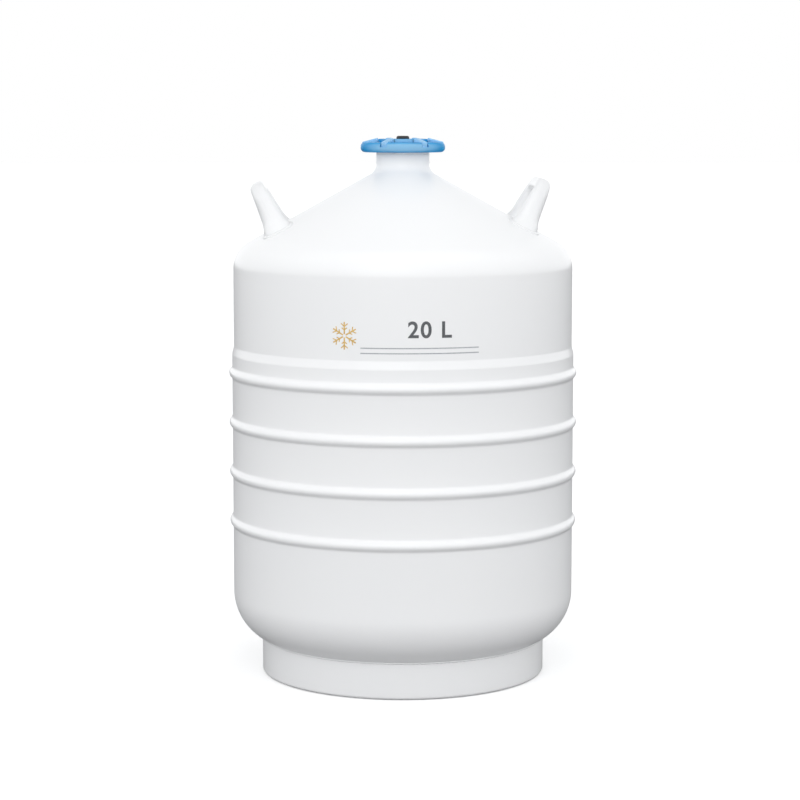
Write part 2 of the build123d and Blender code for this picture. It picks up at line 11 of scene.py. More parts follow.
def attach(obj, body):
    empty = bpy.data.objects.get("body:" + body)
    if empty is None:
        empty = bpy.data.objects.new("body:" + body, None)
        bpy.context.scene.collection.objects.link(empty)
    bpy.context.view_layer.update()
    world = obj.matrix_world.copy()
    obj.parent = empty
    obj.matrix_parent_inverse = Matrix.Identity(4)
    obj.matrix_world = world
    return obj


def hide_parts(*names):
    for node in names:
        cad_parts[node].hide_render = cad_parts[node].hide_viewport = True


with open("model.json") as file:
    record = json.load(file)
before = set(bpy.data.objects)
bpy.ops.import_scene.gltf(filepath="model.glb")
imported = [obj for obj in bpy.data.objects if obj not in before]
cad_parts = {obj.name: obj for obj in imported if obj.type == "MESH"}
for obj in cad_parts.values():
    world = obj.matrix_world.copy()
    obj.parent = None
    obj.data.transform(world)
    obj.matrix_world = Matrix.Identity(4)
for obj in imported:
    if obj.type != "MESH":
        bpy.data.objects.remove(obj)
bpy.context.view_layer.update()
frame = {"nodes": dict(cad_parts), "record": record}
nodes = frame["nodes"]

# ---------------------------------------------------------------- sizes in metres; the CAD's own come first
WALL_R = 0.197
SHEET = 0.002
KNUCKLE_R, KNUCKLE_Z = 0.059, 0.095
DISH_R = 0.700
UPPER_R = 0.1949
SHOULDER_R = 0.034
SLOPE = radians(29)
APEX_Z = 0.5978
NECK_R = 0.0305
NECK_FILLET = 0.013
NECK_TOP = 0.600
SEAM_Z = 0.371
LAP = 0.014
VESSEL_R = 0.152
VESSEL_SEAMS = (0.145, 0.3005)
HOOPS = [0.350 - k * 0.0572 for k in range(4)]
HOOP_PROUD = 0.0036
HOOP_CROWN = 0.006
HOOP_ROOT = 0.005
FOOT_R = 0.164
FOOT_SHEET = 0.003
FOOT_LIP_IN = 0.016
FOOT_LIP_H = 0.0025
FOOT_LIP_EASE = 0.0005
FOOT_BEND_OUT, FOOT_BEND_IN = 0.004, 0.0015
HANDLE_RIGHT_R = 0.1370
HANDLE_LEFT_R = 0.1446
HANDLE_LEAN = radians(25.8)
HANDLE_H = 0.055
HANDLE_HALF_BASE, HANDLE_HALF_TOP = 0.055, 0.050
HANDLE_T_BASE, HANDLE_T_TOP = 0.0265, 0.0152
HANDLE_LEG, HANDLE_GRIP = 0.017, 0.0155
HANDLE_BEND = 0.0145
HANDLE_SINK = 0.002

NECK_LIP = (0.0004, 0.0005)
SEAM_DRESSED_H = 0.010
SEAM_SUNK = 0.0004
HANDLE_CORNER_OUT = 0.0007
HANDLE_FLARE, HANDLE_FLARE_H = 0.0032, 0.014
PARTING_LINE = 0.00025
SQUARENESS = 0.72
LATHE_SEGMENTS = 288
WELD_SEGMENTS = 1200
INNER_WELD_SEGMENTS = 900
FOOT_WELD_R, VESSEL_WELD_R, HANDLE_WELD_R = 0.0012, 0.0013, 0.0021
TINY = 1e-6

KNUCKLE_C = WALL_R - KNUCKLE_R
DISH_TURN = degrees(asin(KNUCKLE_C / (DISH_R - KNUCKLE_R)))
DISH_Z = KNUCKLE_Z + sqrt((DISH_R - KNUCKLE_R) ** 2 - KNUCKLE_C**2)
SHOULDER_Z = APEX_Z - SHOULDER_R / cos(SLOPE) - (UPPER_R - SHOULDER_R) * tan(SLOPE)
FILLET_Z = APEX_Z + NECK_FILLET / cos(SLOPE) - (NECK_R + NECK_FILLET) * tan(SLOPE)


def cone_z(r):
    """The height of the shell's cone at a radius."""
    return APEX_Z - r * tan(SLOPE)


def knuckle_z(r):
    """The height of the underside of the lower shell's knuckle at a radius."""
    return KNUCKLE_Z - sqrt(KNUCKLE_R**2 - (r - KNUCKLE_C) ** 2)


# ---------------------------------------------------------------- materials
class Nodes:
    """Short hand for building one material's node tree."""

    def __init__(self, name):
        self.mat = bpy.data.materials.new(name)
        self.mat.use_nodes = True
        self.tree = self.mat.node_tree
        self.bsdf = self.tree.nodes["Principled BSDF"]
        self.place = self.tree.nodes.new("ShaderNodeTexCoord").outputs["Object"]

    def add(self, kind, **settings):
        node = self.tree.nodes.new("ShaderNode" + kind)
        for key, value in settings.items():
            setattr(node, key, value)
        return node

    def link(self, source, target):
        self.tree.links.new(source, target)

    def stretched(self, scale):
        node = self.add("Mapping")
        node.inputs["Scale"].default_value = scale
        self.link(self.place, node.inputs["Vector"])
        return node.outputs["Vector"]

    def noise(self, scale, detail=3.0, rough=0.5, place=None):
        node = self.add("TexNoise")
        node.inputs["Scale"].default_value = scale
        node.inputs["Detail"].default_value = detail
        node.inputs["Roughness"].default_value = rough
        self.link(place or self.place, node.inputs["Vector"])
        return node.outputs["Fac"]

    def cells(self, scale, feature="F1"):
        node = self.add("TexVoronoi", feature=feature)
        node.inputs["Scale"].default_value = scale
        self.link(self.place, node.inputs["Vector"])
        return node.outputs["Distance"]

    def waves(self, scale, distortion=0.0, direction="Z", place=None):
        node = self.add("TexWave", wave_type="BANDS", bands_direction=direction)
        node.inputs["Scale"].default_value = scale
        node.inputs["Distortion"].default_value = distortion
        self.link(place or self.place, node.inputs["Vector"])
        return node.outputs["Fac"]

    def ramp(self, value, low, high, to_low=0.0, to_high=1.0):
        node = self.add("MapRange")
        keys = ("From Min", "From Max", "To Min", "To Max")
        for key, number in zip(keys, (low, high, to_low, to_high)):
            node.inputs[key].default_value = number
        self.link(value, node.inputs["Value"])
        return node.outputs["Result"]

    def math(self, operation, a, b):
        node = self.add("Math", operation=operation)
        for socket, value in zip(node.inputs, (a, b)):
            if isinstance(value, (int, float)):
                socket.default_value = value
            else:
                self.link(value, socket)
        return node.outputs["Value"]

    def mix(self, fac, a, b):
        node = self.add("Mix", data_type="RGBA")
        self.link(fac, node.inputs["Factor"])
        colour_a, colour_b, result = node.inputs[6], node.inputs[7], node.outputs[2]
        for socket, value in ((colour_a, a), (colour_b, b)):
            if isinstance(value, tuple):
                socket.default_value = (*value, 1)
            else:
                self.link(value, socket)
        return result

    def edge_wear(self):
        """0 on flat places, 1 on sharp outer edges, from the surface's own curvature."""
        point = self.add("NewGeometry").outputs["Pointiness"]
        return self.ramp(point, 0.53, 0.62)

    def bump(self, height, distance, strength=1.0, onto=None):
        node = self.add("Bump")
        node.inputs["Strength"].default_value = strength
        node.inputs["Distance"].default_value = distance
        self.link(height, node.inputs["Height"])
        if onto:
            self.link(onto, node.inputs["Normal"])
        return node.outputs["Normal"]

    def finish(self, colour=None, rough=None, normal=None, **sockets):
        for name, value in sockets.items():
            self.bsdf.inputs[name.replace("_", " ")].default_value = value
        for name, value in (("Base Color", colour), ("Roughness", rough), ("Normal", normal)):
            if value is None:
                continue
            if isinstance(value, tuple):
                self.bsdf.inputs[name].default_value = (*value, 1)
            elif isinstance(value, (int, float)):
                self.bsdf.inputs[name].default_value = value
            else:
                self.link(value, self.bsdf.inputs[name])
        return self.mat


def enamel():
    """Sprayed white enamel: orange peel over the slow unevenness of spun sheet."""
    n = Nodes("white_enamel")
    slow = n.noise(7.0, 2.0)
    colour = n.mix(n.ramp(slow, 0.0, 1.0), (0.872, 0.876, 0.882), (0.892, 0.892, 0.892))
    rough = n.ramp(n.noise(13.0, 1.0), 0.0, 1.0, 0.26, 0.34)
    peel = n.bump(n.noise(420.0, 2.0), 0.00003, 0.25)
    spun = n.bump(n.noise(9.0, 1.0, place=n.stretched((1, 1, 2.4))), 0.0004, 0.2, peel)
    return n.finish(colour, rough, spun, Coat_Weight=0.2, Coat_Roughness=0.15, IOR=1.45)


def shaded_enamel_cast():
    """The same enamel over a sand-cast handle, so the surface is coarser; its colour is set darker than the
    enamel's as painted shade, on the handles and the welds.
    """
    n = Nodes("white_enamel_cast_shaded")
    # painted shade: this colour is set darker than the white enamel's
    colour = n.mix(n.ramp(n.noise(30.0, 1.0), 0.0, 1.0), (0.785, 0.789, 0.796), (0.820, 0.821, 0.824))
    rough = n.ramp(n.noise(60.0, 1.0), 0.0, 1.0, 0.26, 0.38)
    grain = n.bump(n.noise(650.0, 3.0), 0.00012, 0.5)
    lumps = n.bump(n.noise(70.0, 2.0), 0.0006, 0.5, grain)
    return n.finish(colour, rough, lumps, Coat_Weight=0.3, Coat_Roughness=0.15, IOR=1.5)


def moulded(name, dark, light, rough=(0.30, 0.42), subsurface=0.0, painted_reflection=None, shine=0.5):
    """Moulded plastic: cloudy colour, spark-eroded grain, paler scuffed edges, and a paler colour painted
    where it faces the view, a painted reflection of the light in front.
    """
    n = Nodes(name)
    colour = n.mix(n.ramp(n.noise(54.0, 3.0), 0.3, 0.7), dark, light)
    if painted_reflection:
        # painted reflection: a paler colour mixed in where the surface faces the view
        facing = n.add("LayerWeight").outputs["Facing"]
        colour = n.mix(n.ramp(facing, 0.12, 0.60, 0.95, 0.0), colour, painted_reflection)
    scuff = tuple(min(1.0, c * 1.25 + 0.06) for c in light)
    worn = n.math("MULTIPLY", n.edge_wear(), n.ramp(n.noise(160.0, 4.0), 0.45, 0.6))
    colour = n.mix(n.math("MULTIPLY", worn, 0.7), colour, scuff)
    skin = n.ramp(n.noise(380.0, 3.0), 0.3, 0.7, *rough)
    grain = n.bump(n.noise(1400.0, 2.0), 0.00004, 0.5)
    return n.finish(
        colour,
        skin,
        grain,
        IOR=1.5,
        Specular_IOR_Level=shine,
        Subsurface_Weight=subsurface,
        Subsurface_Radius=(0.002, 0.004, 0.006),
    )


def metal(name, dark, light, rough, along=(1, 1, 1), grain=900.0, depth=0.00003):
    """Bare metal with a directional grain, slow tarnish and brighter edges."""
    n = Nodes(name)
    drawn = n.stretched(along)
    tarnish = n.ramp(n.noise(24.0, 4.0), 0.3, 0.7)
    streak = n.ramp(n.noise(grain, 2.0, place=drawn), 0.3, 0.7)
    colour = n.mix(n.math("MULTIPLY", tarnish, streak), dark, light)
    colour = n.mix(n.math("MULTIPLY", n.edge_wear(), 0.6), colour, (0.9, 0.9, 0.9))
    polish = n.ramp(streak, 0.0, 1.0, *rough)
    normal = n.bump(n.noise(grain, 2.0, place=drawn), depth, 0.5)
    return n.finish(colour, polish, normal, Metallic=1.0)


def glass_fibre():
    """Wound glass-fibre tube: amber resin with crossing bands of fibre."""
    n = Nodes("glass_fibre")
    left = n.waves(120.0, 1.5, "Z", n.stretched((3.0, 3.0, 1.0)))
    right = n.waves(90.0, 1.5, "DIAGONAL")
    weave = n.math("MULTIPLY", left, right)
    colour = n.mix(n.ramp(weave, 0.1, 0.8), (0.42, 0.40, 0.22), (0.66, 0.64, 0.44))
    rough = n.ramp(n.noise(300.0), 0.3, 0.7, 0.25, 0.45)
    return n.finish(colour, rough, n.bump(weave, 0.0001, 0.5), IOR=1.53)


def foil():
    """Crinkled aluminised foil over spacer paper."""
    n = Nodes("foil_blanket")
    creases = n.cells(70.0, "DISTANCE_TO_EDGE")
    fine = n.noise(140.0, 5.0, 0.6)
    colour = n.mix(n.ramp(fine, 0.3, 0.7), (0.70, 0.71, 0.73), (0.90, 0.90, 0.91))
    normal = n.bump(n.ramp(creases, 0.0, 0.08), 0.0012, 0.6, n.bump(fine, 0.0008, 0.6))
    return n.finish(colour, n.ramp(fine, 0.3, 0.7, 0.18, 0.38), normal, Metallic=1.0)


def cloth():
    """Coarse woven cloth bag."""
    n = Nodes("adsorbent_cloth")
    warp = n.waves(260.0, 0.6, "X")
    weft = n.waves(260.0, 0.6, "Y")
    thread = n.math("MAXIMUM", warp, weft)
    colour = n.mix(n.ramp(thread, 0.2, 0.9), (0.52, 0.49, 0.41), (0.80, 0.78, 0.70))
    rough = n.ramp(n.noise(80.0), 0.3, 0.7, 0.8, 0.95)
    return n.finish(colour, rough, n.bump(thread, 0.0004, 0.7), Sheen_Weight=0.3)


def foam():
    """Cut closed-cell foam: packed cells, a few open pores darkened as painted shade, slightly yellowed."""
    n = Nodes("white_foam")
    cells = n.cells(420.0)
    pores = n.ramp(n.cells(150.0), 0.10, 0.06)
    colour = n.mix(n.ramp(n.noise(35.0, 3.0), 0.3, 0.7), (0.80, 0.76, 0.64), (0.90, 0.88, 0.80))
    # painted shade: the open pores are coloured darker
    colour = n.mix(n.math("MULTIPLY", pores, 0.5), colour, (0.55, 0.50, 0.40))
    normal = n.bump(cells, 0.0004, 0.6, n.bump(pores, 0.0005, 0.5))
    return n.finish(colour, n.ramp(cells, 0.0, 0.6, 0.75, 0.95), normal, Subsurface_Weight=0.1)


def rubber():
    """Nitrile rubber: black, with a bloom of slightly paler patches."""
    n = Nodes("nitrile")
    colour = n.mix(n.ramp(n.noise(120.0), 0.3, 0.7), (0.018, 0.018, 0.018), (0.04, 0.04, 0.042))
    rough = n.ramp(n.noise(300.0), 0.3, 0.7, 0.45, 0.65)
    return n.finish(colour, rough, n.bump(n.noise(900.0), 0.00005, 0.5))


def ink(name, dark, light, metallic=0.0):
    """Screen-printed ink: thin patches and a slightly rough skin."""
    n = Nodes(name)
    colour = n.mix(n.ramp(n.noise(500.0, 4.0), 0.35, 0.65), dark, light)
    rough = n.ramp(n.noise(700.0, 2.0), 0.3, 0.7, 0.35, 0.47)
    return n.finish(colour, rough, n.bump(n.noise(1500.0), 0.00002, 0.4), Metallic=metallic)


WHITE = enamel()
SHADED_WHITE_CAST = shaded_enamel_cast()
BLUE = moulded(
    "blue_plastic",
    (0.0, 0.23, 0.54),
    (0.0, 0.29, 0.63),
    subsurface=0.1,
    # painted reflection: the paler colour of the ring where it faces the view
    painted_reflection=(0.24, 0.49, 0.72),
    shine=0.15,
)
PALE_BLUE = moulded("grip_plastic", (0.20, 0.46, 0.74), (0.28, 0.54, 0.80), subsurface=0.15)
BLACK = moulded("black_plastic", (0.012, 0.012, 0.013), (0.022, 0.022, 0.024), (0.35, 0.5))
SPUN = metal("bare_aluminium", (0.60, 0.61, 0.62), (0.78, 0.79, 0.80), (0.28, 0.42), (0.2, 0.2, 6.0))
SHIELD = metal(
    "shield_foil",
    (0.74, 0.75, 0.76),
    (0.90, 0.90, 0.91),
    (0.10, 0.22),
    grain=120.0,
    depth=0.0004,
)
STAINLESS = metal("stainless", (0.50, 0.50, 0.49), (0.66, 0.66, 0.65), (0.22, 0.36), (1, 1, 0.06), 1400.0)
ZINC = metal("zinc_steel", (0.48, 0.50, 0.53), (0.68, 0.69, 0.70), (0.25, 0.4), grain=300.0)
GETTER = metal("getter_steel", (0.40, 0.40, 0.41), (0.58, 0.58, 0.58), (0.35, 0.5), grain=500.0)
BY_SLOT = {
    "white_enamel": WHITE,
    "bare_aluminium": SPUN,
    "shield_foil": SHIELD,
    "glass_fibre": glass_fibre(),
    "foil_blanket": foil(),
    "adsorbent_cloth": cloth(),
    "getter_steel": GETTER,
    "blue_plastic": BLUE,
    "black_plastic": BLACK,
    "grip_plastic": PALE_BLUE,
    "white_foam": foam(),
    "stainless": STAINLESS,
    "zinc_steel": ZINC,
    "nitrile": rubber(),
}
SLOT_OF = {part["node"]: part["material_slot"] for part in frame["record"]["subparts"]}
BODY_OF = {}
for body, members in frame["record"]["behaviour"]["bodies"].items():
    BODY_OF.update(dict.fromkeys(members, body))
for name, node in nodes.items():
    node.data.materials.clear()
    node.data.materials.append(BY_SLOT[SLOT_OF[name]])


# ---------------------------------------------------------------- mesh helpers
def piece(name, mesh, material, body, replaces=()):
    """A new object made of a mesh, with its material and body."""
    obj = bpy.data.objects.new(name, mesh)
    bpy.context.scene.collection.objects.link(obj)
    mesh.materials.clear()
    mesh.materials.append(material)
    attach(obj, body)
    if replaces:
        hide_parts(*replaces)


def white_piece(name, mesh, material=WHITE, replaces=()):
    """A white painted piece that is fixed to the vessel."""
    piece(name, mesh, material, "vessel", replaces)


def from_bmesh(name, bm, sharp=35):
    """A smooth-shaded mesh whose edges stay sharp above an angle in degrees."""
    mesh = bpy.data.meshes.new(name)
    bmesh.ops.recalc_face_normals(bm, faces=bm.faces)
    bm.to_mesh(mesh)
    bm.free()
    mesh.shade_smooth()
    mesh.set_sharp_from_angle(angle=radians(sharp))
    return mesh


def arc(cx, cz, r, start, turn, steps):
    """Points on an arc of the half section, its angles in degrees."""
    angles = [radians(start + turn * i / steps) for i in range(steps + 1)]
    return [(cx + r * cos(a), cz + r * sin(a)) for a in angles]


def without_repeats(points):
    """The points without those that repeat the one before."""
    kept = [points[0]]
    for p in points[1:]:
        if abs(p[0] - kept[-1][0]) + abs(p[1] - kept[-1][1]) > TINY:
            kept.append(p)
    return kept


def around(count):
    """Evenly spaced angles of one whole turn, in radians."""
    return [2 * pi * k / count for k in range(count)]


def bridge(bm, low, high):
    """Faces between two rings of vertices, either of which may be a single vertex."""
    count = max(len(low), len(high))
    for k in range(count):
        t = (k + 1) % count
        corners = (low[k % len(low)], low[t % len(low)], high[t % len(high)], high[k % len(high)])
        bm.faces.new(list(dict.fromkeys(corners)))


def lathe(name, outline):
    """A mesh turned about Z from its closed half section; a point on the axis becomes one vertex."""
    bm = bmesh.new()
    rings = []
    for r, z in outline:
        if r < TINY:
            rings.append([bm.verts.new((0, 0, z))])
        else:
            rings.append([bm.verts.new((r * cos(a), r * sin(a), z)) for a in around(LATHE_SEGMENTS)])
    for low, high in zip(rings, rings[1:] + rings[:1]):
        if len(low) > 1 or len(high) > 1:
            bridge(bm, low, high)
    return from_bmesh(name, bm)


def softened(node, width):
    """A copy of a CAD node's mesh with its flat faces whole again and its edges rounded."""
    flat, edge, doubles = radians(0.6), radians(40), 2e-6
    bm = bmesh.new()
    bm.from_mesh(nodes[node].data)
    bmesh.ops.remove_doubles(bm, verts=bm.verts, dist=doubles)
    bmesh.ops.dissolve_limit(bm, angle_limit=flat, verts=bm.verts, edges=bm.edges)
    edges = [e for e in bm.edges if len(e.link_faces) == 2 and e.calc_face_angle() > edge]
    bmesh.ops.bevel(
        bm,
        geom=edges,
        offset=width,
        segments=2,
        profile=0.5,
        affect="EDGES",
        clamp_overlap=True,
    )
    return from_bmesh(node + "_softened", bm, 30)


def round_edges(node, width):
    """A stand-in for a CAD node with the same shape and rounded edges."""
    slot = SLOT_OF[node]
    piece(f"{node}_rounded", softened(node, width), BY_SLOT[slot], BODY_OF[node], [node])


def bead(points, radius, sides=10, ripple=0.0, pitch=0.0045):
    """A weld bead: a closed tube along points, pulsing in size as a hand-run weld does."""
    unevenness_scale = 90
    bm = bmesh.new()
    rings = []
    count = len(points)
    run = 0.0
    for i, p in enumerate(points):
        forward = (points[(i + 1) % count] - points[i - 1]).normalized()
        run += (p - points[i - 1]).length if i else 0.0
        side = forward.cross(Vector((0, 0, 1))).normalized()
        up = side.cross(forward)
        pulse = sin(2 * pi * run / pitch)
        size = radius * (1 + ripple * pulse + ripple * noise.noise(p * unevenness_scale))
        rings.append([bm.verts.new(p + side * size * cos(a) + up * size * sin(a)) for a in around(sides)])
    for low, high in zip(rings, rings[1:] + rings[:1]):
        bridge(bm, low, high)
    return bm


def ring_points(r, z, count):
    """Points round a level circle about Z."""
    return [Vector((r * cos(a), r * sin(a), z)) for a in around(count)]


# ---------------------------------------------------------------- outer shell
def lower_outline(inset):
    """The lower half's sheet at an inset from its outside: dished bottom, knuckle, wall and hoops."""
    points = arc(0, DISH_Z, DISH_R - inset, -90, DISH_TURN, 12)
    points += arc(KNUCKLE_C, KNUCKLE_Z, KNUCKLE_R - inset, DISH_TURN - 90, 90 - DISH_TURN, 24)
    across = HOOP_ROOT + HOOP_CROWN - HOOP_PROUD
    up = sqrt((HOOP_ROOT + HOOP_CROWN) ** 2 - across**2)
    turn = degrees(atan2(up, across))
    for z in reversed(HOOPS):
        points += arc(WALL_R + HOOP_ROOT, z - up, HOOP_ROOT + inset, 180, -turn, 6)
        points += arc(WALL_R + HOOP_PROUD - HOOP_CROWN, z, HOOP_CROWN - inset, -turn, 2 * turn, 12)
        points += arc(WALL_R + HOOP_ROOT, z + up, HOOP_ROOT + inset, 180 + turn, -turn, 6)
    points.append((WALL_R - inset, SEAM_Z))
    return without_repeats(points)


def upper_outline(inset):
    """The upper half's sheet at an inset: from inside the lap, over the shoulder, to the neck's flare."""
    turn = 90 - degrees(SLOPE)
    points = [(UPPER_R - inset, SEAM_Z - LAP)]
    points += arc(UPPER_R - SHOULDER_R, SHOULDER_Z, SHOULDER_R - inset, 0, turn, 28)
    points += arc(NECK_R + NECK_FILLET, FILLET_Z, NECK_FILLET + inset, 180 + turn, 0, 1)
    return without_repeats(points)


def neck_outline(inset):
    """The neck's sheet at an inset: its flare, its wall, and the broken corners of its top edge."""
    turn = 90 - degrees(SLOPE)
    points = arc(NECK_R + NECK_FILLET, FILLET_Z, NECK_FILLET + inset, 180 + turn, -turn, 20)
    in_by, down_by = NECK_LIP
    wall = NECK_R - inset
    edge = wall - in_by if inset == 0 else wall + in_by
    points += [(wall, NECK_TOP - down_by), (edge, NECK_TOP)]
    return without_repeats(points)


def sheet_outline(path):
    """The closed half section of a sheet, from the path of its outside."""
    return path(0) + path(SHEET)[::-1]


def dressed_seam():
    """The weld over the lap, ground down to a long even slope between the two walls."""
    top = SEAM_Z + SEAM_DRESSED_H
    rise = 0.2 * SEAM_DRESSED_H
    ease = 0.1 * (WALL_R - UPPER_R)
    slope = [(WALL_R, SEAM_Z), (WALL_R - ease, SEAM_Z + rise), (UPPER_R + ease, top - rise), (UPPER_R, top)]
    return slope + [(UPPER_R - SEAM_SUNK, top), (UPPER_R - SEAM_SUNK, SEAM_Z)]


for name, path, replaced in (
    ("shell_lower_spun", lower_outline, "outer_shell_lower"),
    ("shell_upper_spun", upper_outline, "outer_shell_upper"),
    ("neck_spun", neck_outline, "outer_neck"),
):
    white_piece(name, lathe(name, sheet_outline(path)), replaces=[replaced])
white_piece("shell_seam_weld", lathe("shell_seam_weld", dressed_seam()))


# ---------------------------------------------------------------- foot ring
def foot_outline():
    """The rolled ring's half section: cut to the knuckle at its top, turned in to a lip at the floor."""
    inside = FOOT_R - FOOT_SHEET
    lip_end = FOOT_R - FOOT_LIP_IN
    lip_start = lip_end + FOOT_LIP_EASE
    lip = [
        (lip_start, 0.0),
        (lip_end, FOOT_LIP_EASE),
        (lip_end, FOOT_LIP_H - FOOT_LIP_EASE),
        (lip_start, FOOT_LIP_H),
    ]
    outer = arc(FOOT_R - FOOT_BEND_OUT, FOOT_BEND_OUT, FOOT_BEND_OUT, 0, -90, 8)
    inner = arc(inside - FOOT_BEND_IN, FOOT_LIP_H + FOOT_BEND_IN, FOOT_BEND_IN, -90, 90, 6)
    tops = (FOOT_R, knuckle_z(FOOT_R)), (inside, knuckle_z(inside))
    return without_repeats([tops[0]] + outer + lip + inner + [tops[1]])


def foot_weld():
    """The bead round the corner between the foot ring and the knuckle."""
    proud, lowered = 0.0003, 0.0001
    corner = ring_points(FOOT_R + proud, knuckle_z(FOOT_R) - lowered, WELD_SEGMENTS)
    return bead(corner, FOOT_WELD_R, ripple=0.1)


white_piece("foot_ring_rolled", lathe("foot_ring_rolled", foot_outline()), replaces=["foot_ring"])
# painted shade: the foot weld takes the darker enamel, a painted dark line at the joint
white_piece("foot_ring_weld", from_bmesh("foot_ring_weld", foot_weld()), SHADED_WHITE_CAST)


# ---------------------------------------------------------------- cast handles
def bow_path():
    """The bow's centre line, foot to foot: stations across and up, each with its heading."""
    leg_steps, bend_steps, grip_steps = 14, 16, 10
    foot = Vector((HANDLE_HALF_BASE - HANDLE_LEG / 2, -HANDLE_SINK))
    across = HANDLE_HALF_TOP + HANDLE_CORNER_OUT - HANDLE_LEG / 2
    corner = Vector((across, HANDLE_H - HANDLE_GRIP / 2))
    leg = (corner - foot).normalized()
    turn = atan2(leg.y, -leg.x)
    lead = HANDLE_BEND * tan(turn / 2)
    start = corner - leg * lead
    stations = [(foot.lerp(start, k / leg_steps), leg) for k in range(leg_steps)]
    centre = start + Vector((-leg.y, leg.x)) * HANDLE_BEND
    for k in range(bend_steps + 1):
        turned = Matrix.Rotation(turn * k / bend_steps, 2)
        spoke = Vector((leg.y, -leg.x)) * HANDLE_BEND
        spoke.rotate(turned)
        heading = leg.copy()
        heading.rotate(turned)
        stations.append((centre + spoke, heading))
    last = stations[-1][0]
    for k in range(1, grip_steps + 1):
        stations.append((Vector((last.x * (1 - k / grip_steps), last.y)), Vector((-1, 0))))
    mirrored = [(Vector((-p.x, p.y)), Vector((t.x, -t.y))) for p, t in reversed(stations[:-1])]
    return stations + mirrored


def bow_section(place, heading, angle, grow=0.0):
    """A point of the handle's rounded section, in the handle's own frame."""
    part = min(1.0, max(0.0, place.y / HANDLE_H))
    thick = (HANDLE_T_BASE + (HANDLE_T_TOP - HANDLE_T_BASE) * part) / 2
    broad = (HANDLE_LEG + (HANDLE_GRIP - HANDLE_LEG) * part) / 2
    flare = HANDLE_FLARE * max(0.0, 1 - (place.y + HANDLE_SINK) / HANDLE_FLARE_H) ** 2 + grow
    across = copysign(abs(sin(angle)) ** SQUARENESS, sin(angle)) * (thick + flare)
    beside = copysign(abs(cos(angle)) ** SQUARENESS, cos(angle)) * (broad + flare)
    ridge = PARTING_LINE if abs(sin(angle)) < 0.02 else 0.0
    beside += copysign(ridge, cos(angle))
    return Vector((across, place.x + heading.y * beside, place.y - heading.x * beside))


def down_to_cone(point, along, depth):
    """The point slid along a line until it is at a depth under the cone's surface."""
    for _ in range(8):
        r = sqrt(point.x**2 + point.y**2)
        miss = point.z - cone_z(r) + depth
        rate = along.z + tan(SLOPE) * (along.x * point.x + along.y * point.y) / r
        point = point - along * (miss / rate)
    return point


def handle_frame(base_r, turn):
    """Where a handle stands: on the cone at a radius, leaning outwards, turned about Z."""
    lean = Matrix.Translation((base_r, 0, cone_z(base_r))) @ Matrix.Rotation(HANDLE_LEAN, 4, "Y")
    return Matrix.Rotation(turn, 4, "Z") @ lean


def cast_handle(side, base_r, turn):
    """The bow and the hand-run weld round each of its feet."""
    lump_size, lump_scale = 0.00018, 55
    root_depth, weld_lift, weld_spread = 0.0009, 0.0002, 0.0004
    by_ridge = 0.05
    stand = handle_frame(base_r, turn)
    along = stand.to_3x3() @ Vector((0, 0, 1))
    by_ridges = [by_ridge, 2 * pi - by_ridge, pi - by_ridge, pi + by_ridge]
    angles = sorted(around(60) + by_ridges)
    stations = bow_path()
    bm = bmesh.new()
    rings = []
    for place, heading in stations:
        ends = place is stations[0][0] or place is stations[-1][0]
        ring = []
        for angle in angles:
            p = stand @ bow_section(place, heading, angle)
            p += lump_size * noise.noise_vector(p * lump_scale)
            ring.append(bm.verts.new(down_to_cone(p, along, root_depth) if ends else p))
        rings.append(ring)
    for low, high in zip(rings, rings[1:]):
        bridge(bm, low, high)
    bm.faces.new(rings[0])
    bm.faces.new(rings[-1])
    name = f"handle_{side}_casting"
    # painted shade: the handle and its welds take the darker enamel
    white_piece(name, from_bmesh(name, bm, 60), SHADED_WHITE_CAST, [f"handle_{side}"])
    for foot, (place, heading) in (("near", stations[0]), ("far", stations[-1])):
        loop = [bow_section(place, heading, angle, weld_spread) for angle in around(110)]
        loop = [down_to_cone(stand @ p, along, -weld_lift) for p in loop]
        name = f"handle_{side}_weld_{foot}"
        weld = bead(loop, HANDLE_WELD_R, sides=12, ripple=0.06, pitch=0.0042)
        white_piece(name, from_bmesh(name, weld), SHADED_WHITE_CAST)


cast_handle("right", HANDLE_RIGHT_R, 0.0)
cast_handle("left", HANDLE_LEFT_R, pi)


# ---------------------------------------------------------------- rounded edges of the smaller parts
for name, width in (
    ("neck_index_ring", 0.0007),
    ("plug_lid", 0.0005),
    ("plug_knob", 0.0004),
    ("vacuum_port_cap", 0.0004),
    ("vacuum_port_stub", 0.0003),
    ("canister_locator_fins", 0.0002),
    ("plug_end_nut", 0.0003),
    ("plug_end_washer", 0.0003),
):
    round_edges(name, width)
for k in range(1, 7):
    round_edges(f"canister_{k}_grip", 0.0004)
    round_edges(f"canister_{k}_cup", 0.00015)


# ---------------------------------------------------------------- print on the front
INK_T = 0.00006
INK_CLEARANCE = 0.00003
STRIP = 0.0025
CRYSTAL_R = 0.015
CRYSTAL_AZIMUTH, CRYSTAL_Z = -21.3, 0.4076
CAPACITY_H = 0.0173
CAPACITY_AZIMUTH, CAPACITY_TOP_Z = 6.2, 0.4151
RULE_HALF_L, RULE_HALF_GAP, RULE_W = 0.0655, 0.0028, 0.0012
RULES_AZIMUTH, RULES_Z = 3.3, 0.3919
GOLD = ink("gold_ink", (0.62, 0.40, 0.12), (0.80, 0.56, 0.22), 0.5)
DARK = ink("dark_ink", (0.075, 0.078, 0.085), (0.11, 0.115, 0.12))
GREY = ink("grey_ink", (0.36, 0.37, 0.39), (0.44, 0.45, 0.47))


def wrap_print(name, bm, azimuth, height, material):
    """A flat print, drawn facing -Y, laid on the wall at an azimuth (from -Y towards +X) and a height."""
    for v in bm.verts:
        turn = radians(azimuth) + v.co.x / UPPER_R
        r = UPPER_R + INK_CLEARANCE + v.co.z
        v.co = (r * sin(turn), -r * cos(turn), height + v.co.y)
    white_piece(name, from_bmesh(name, bm, 30), material)


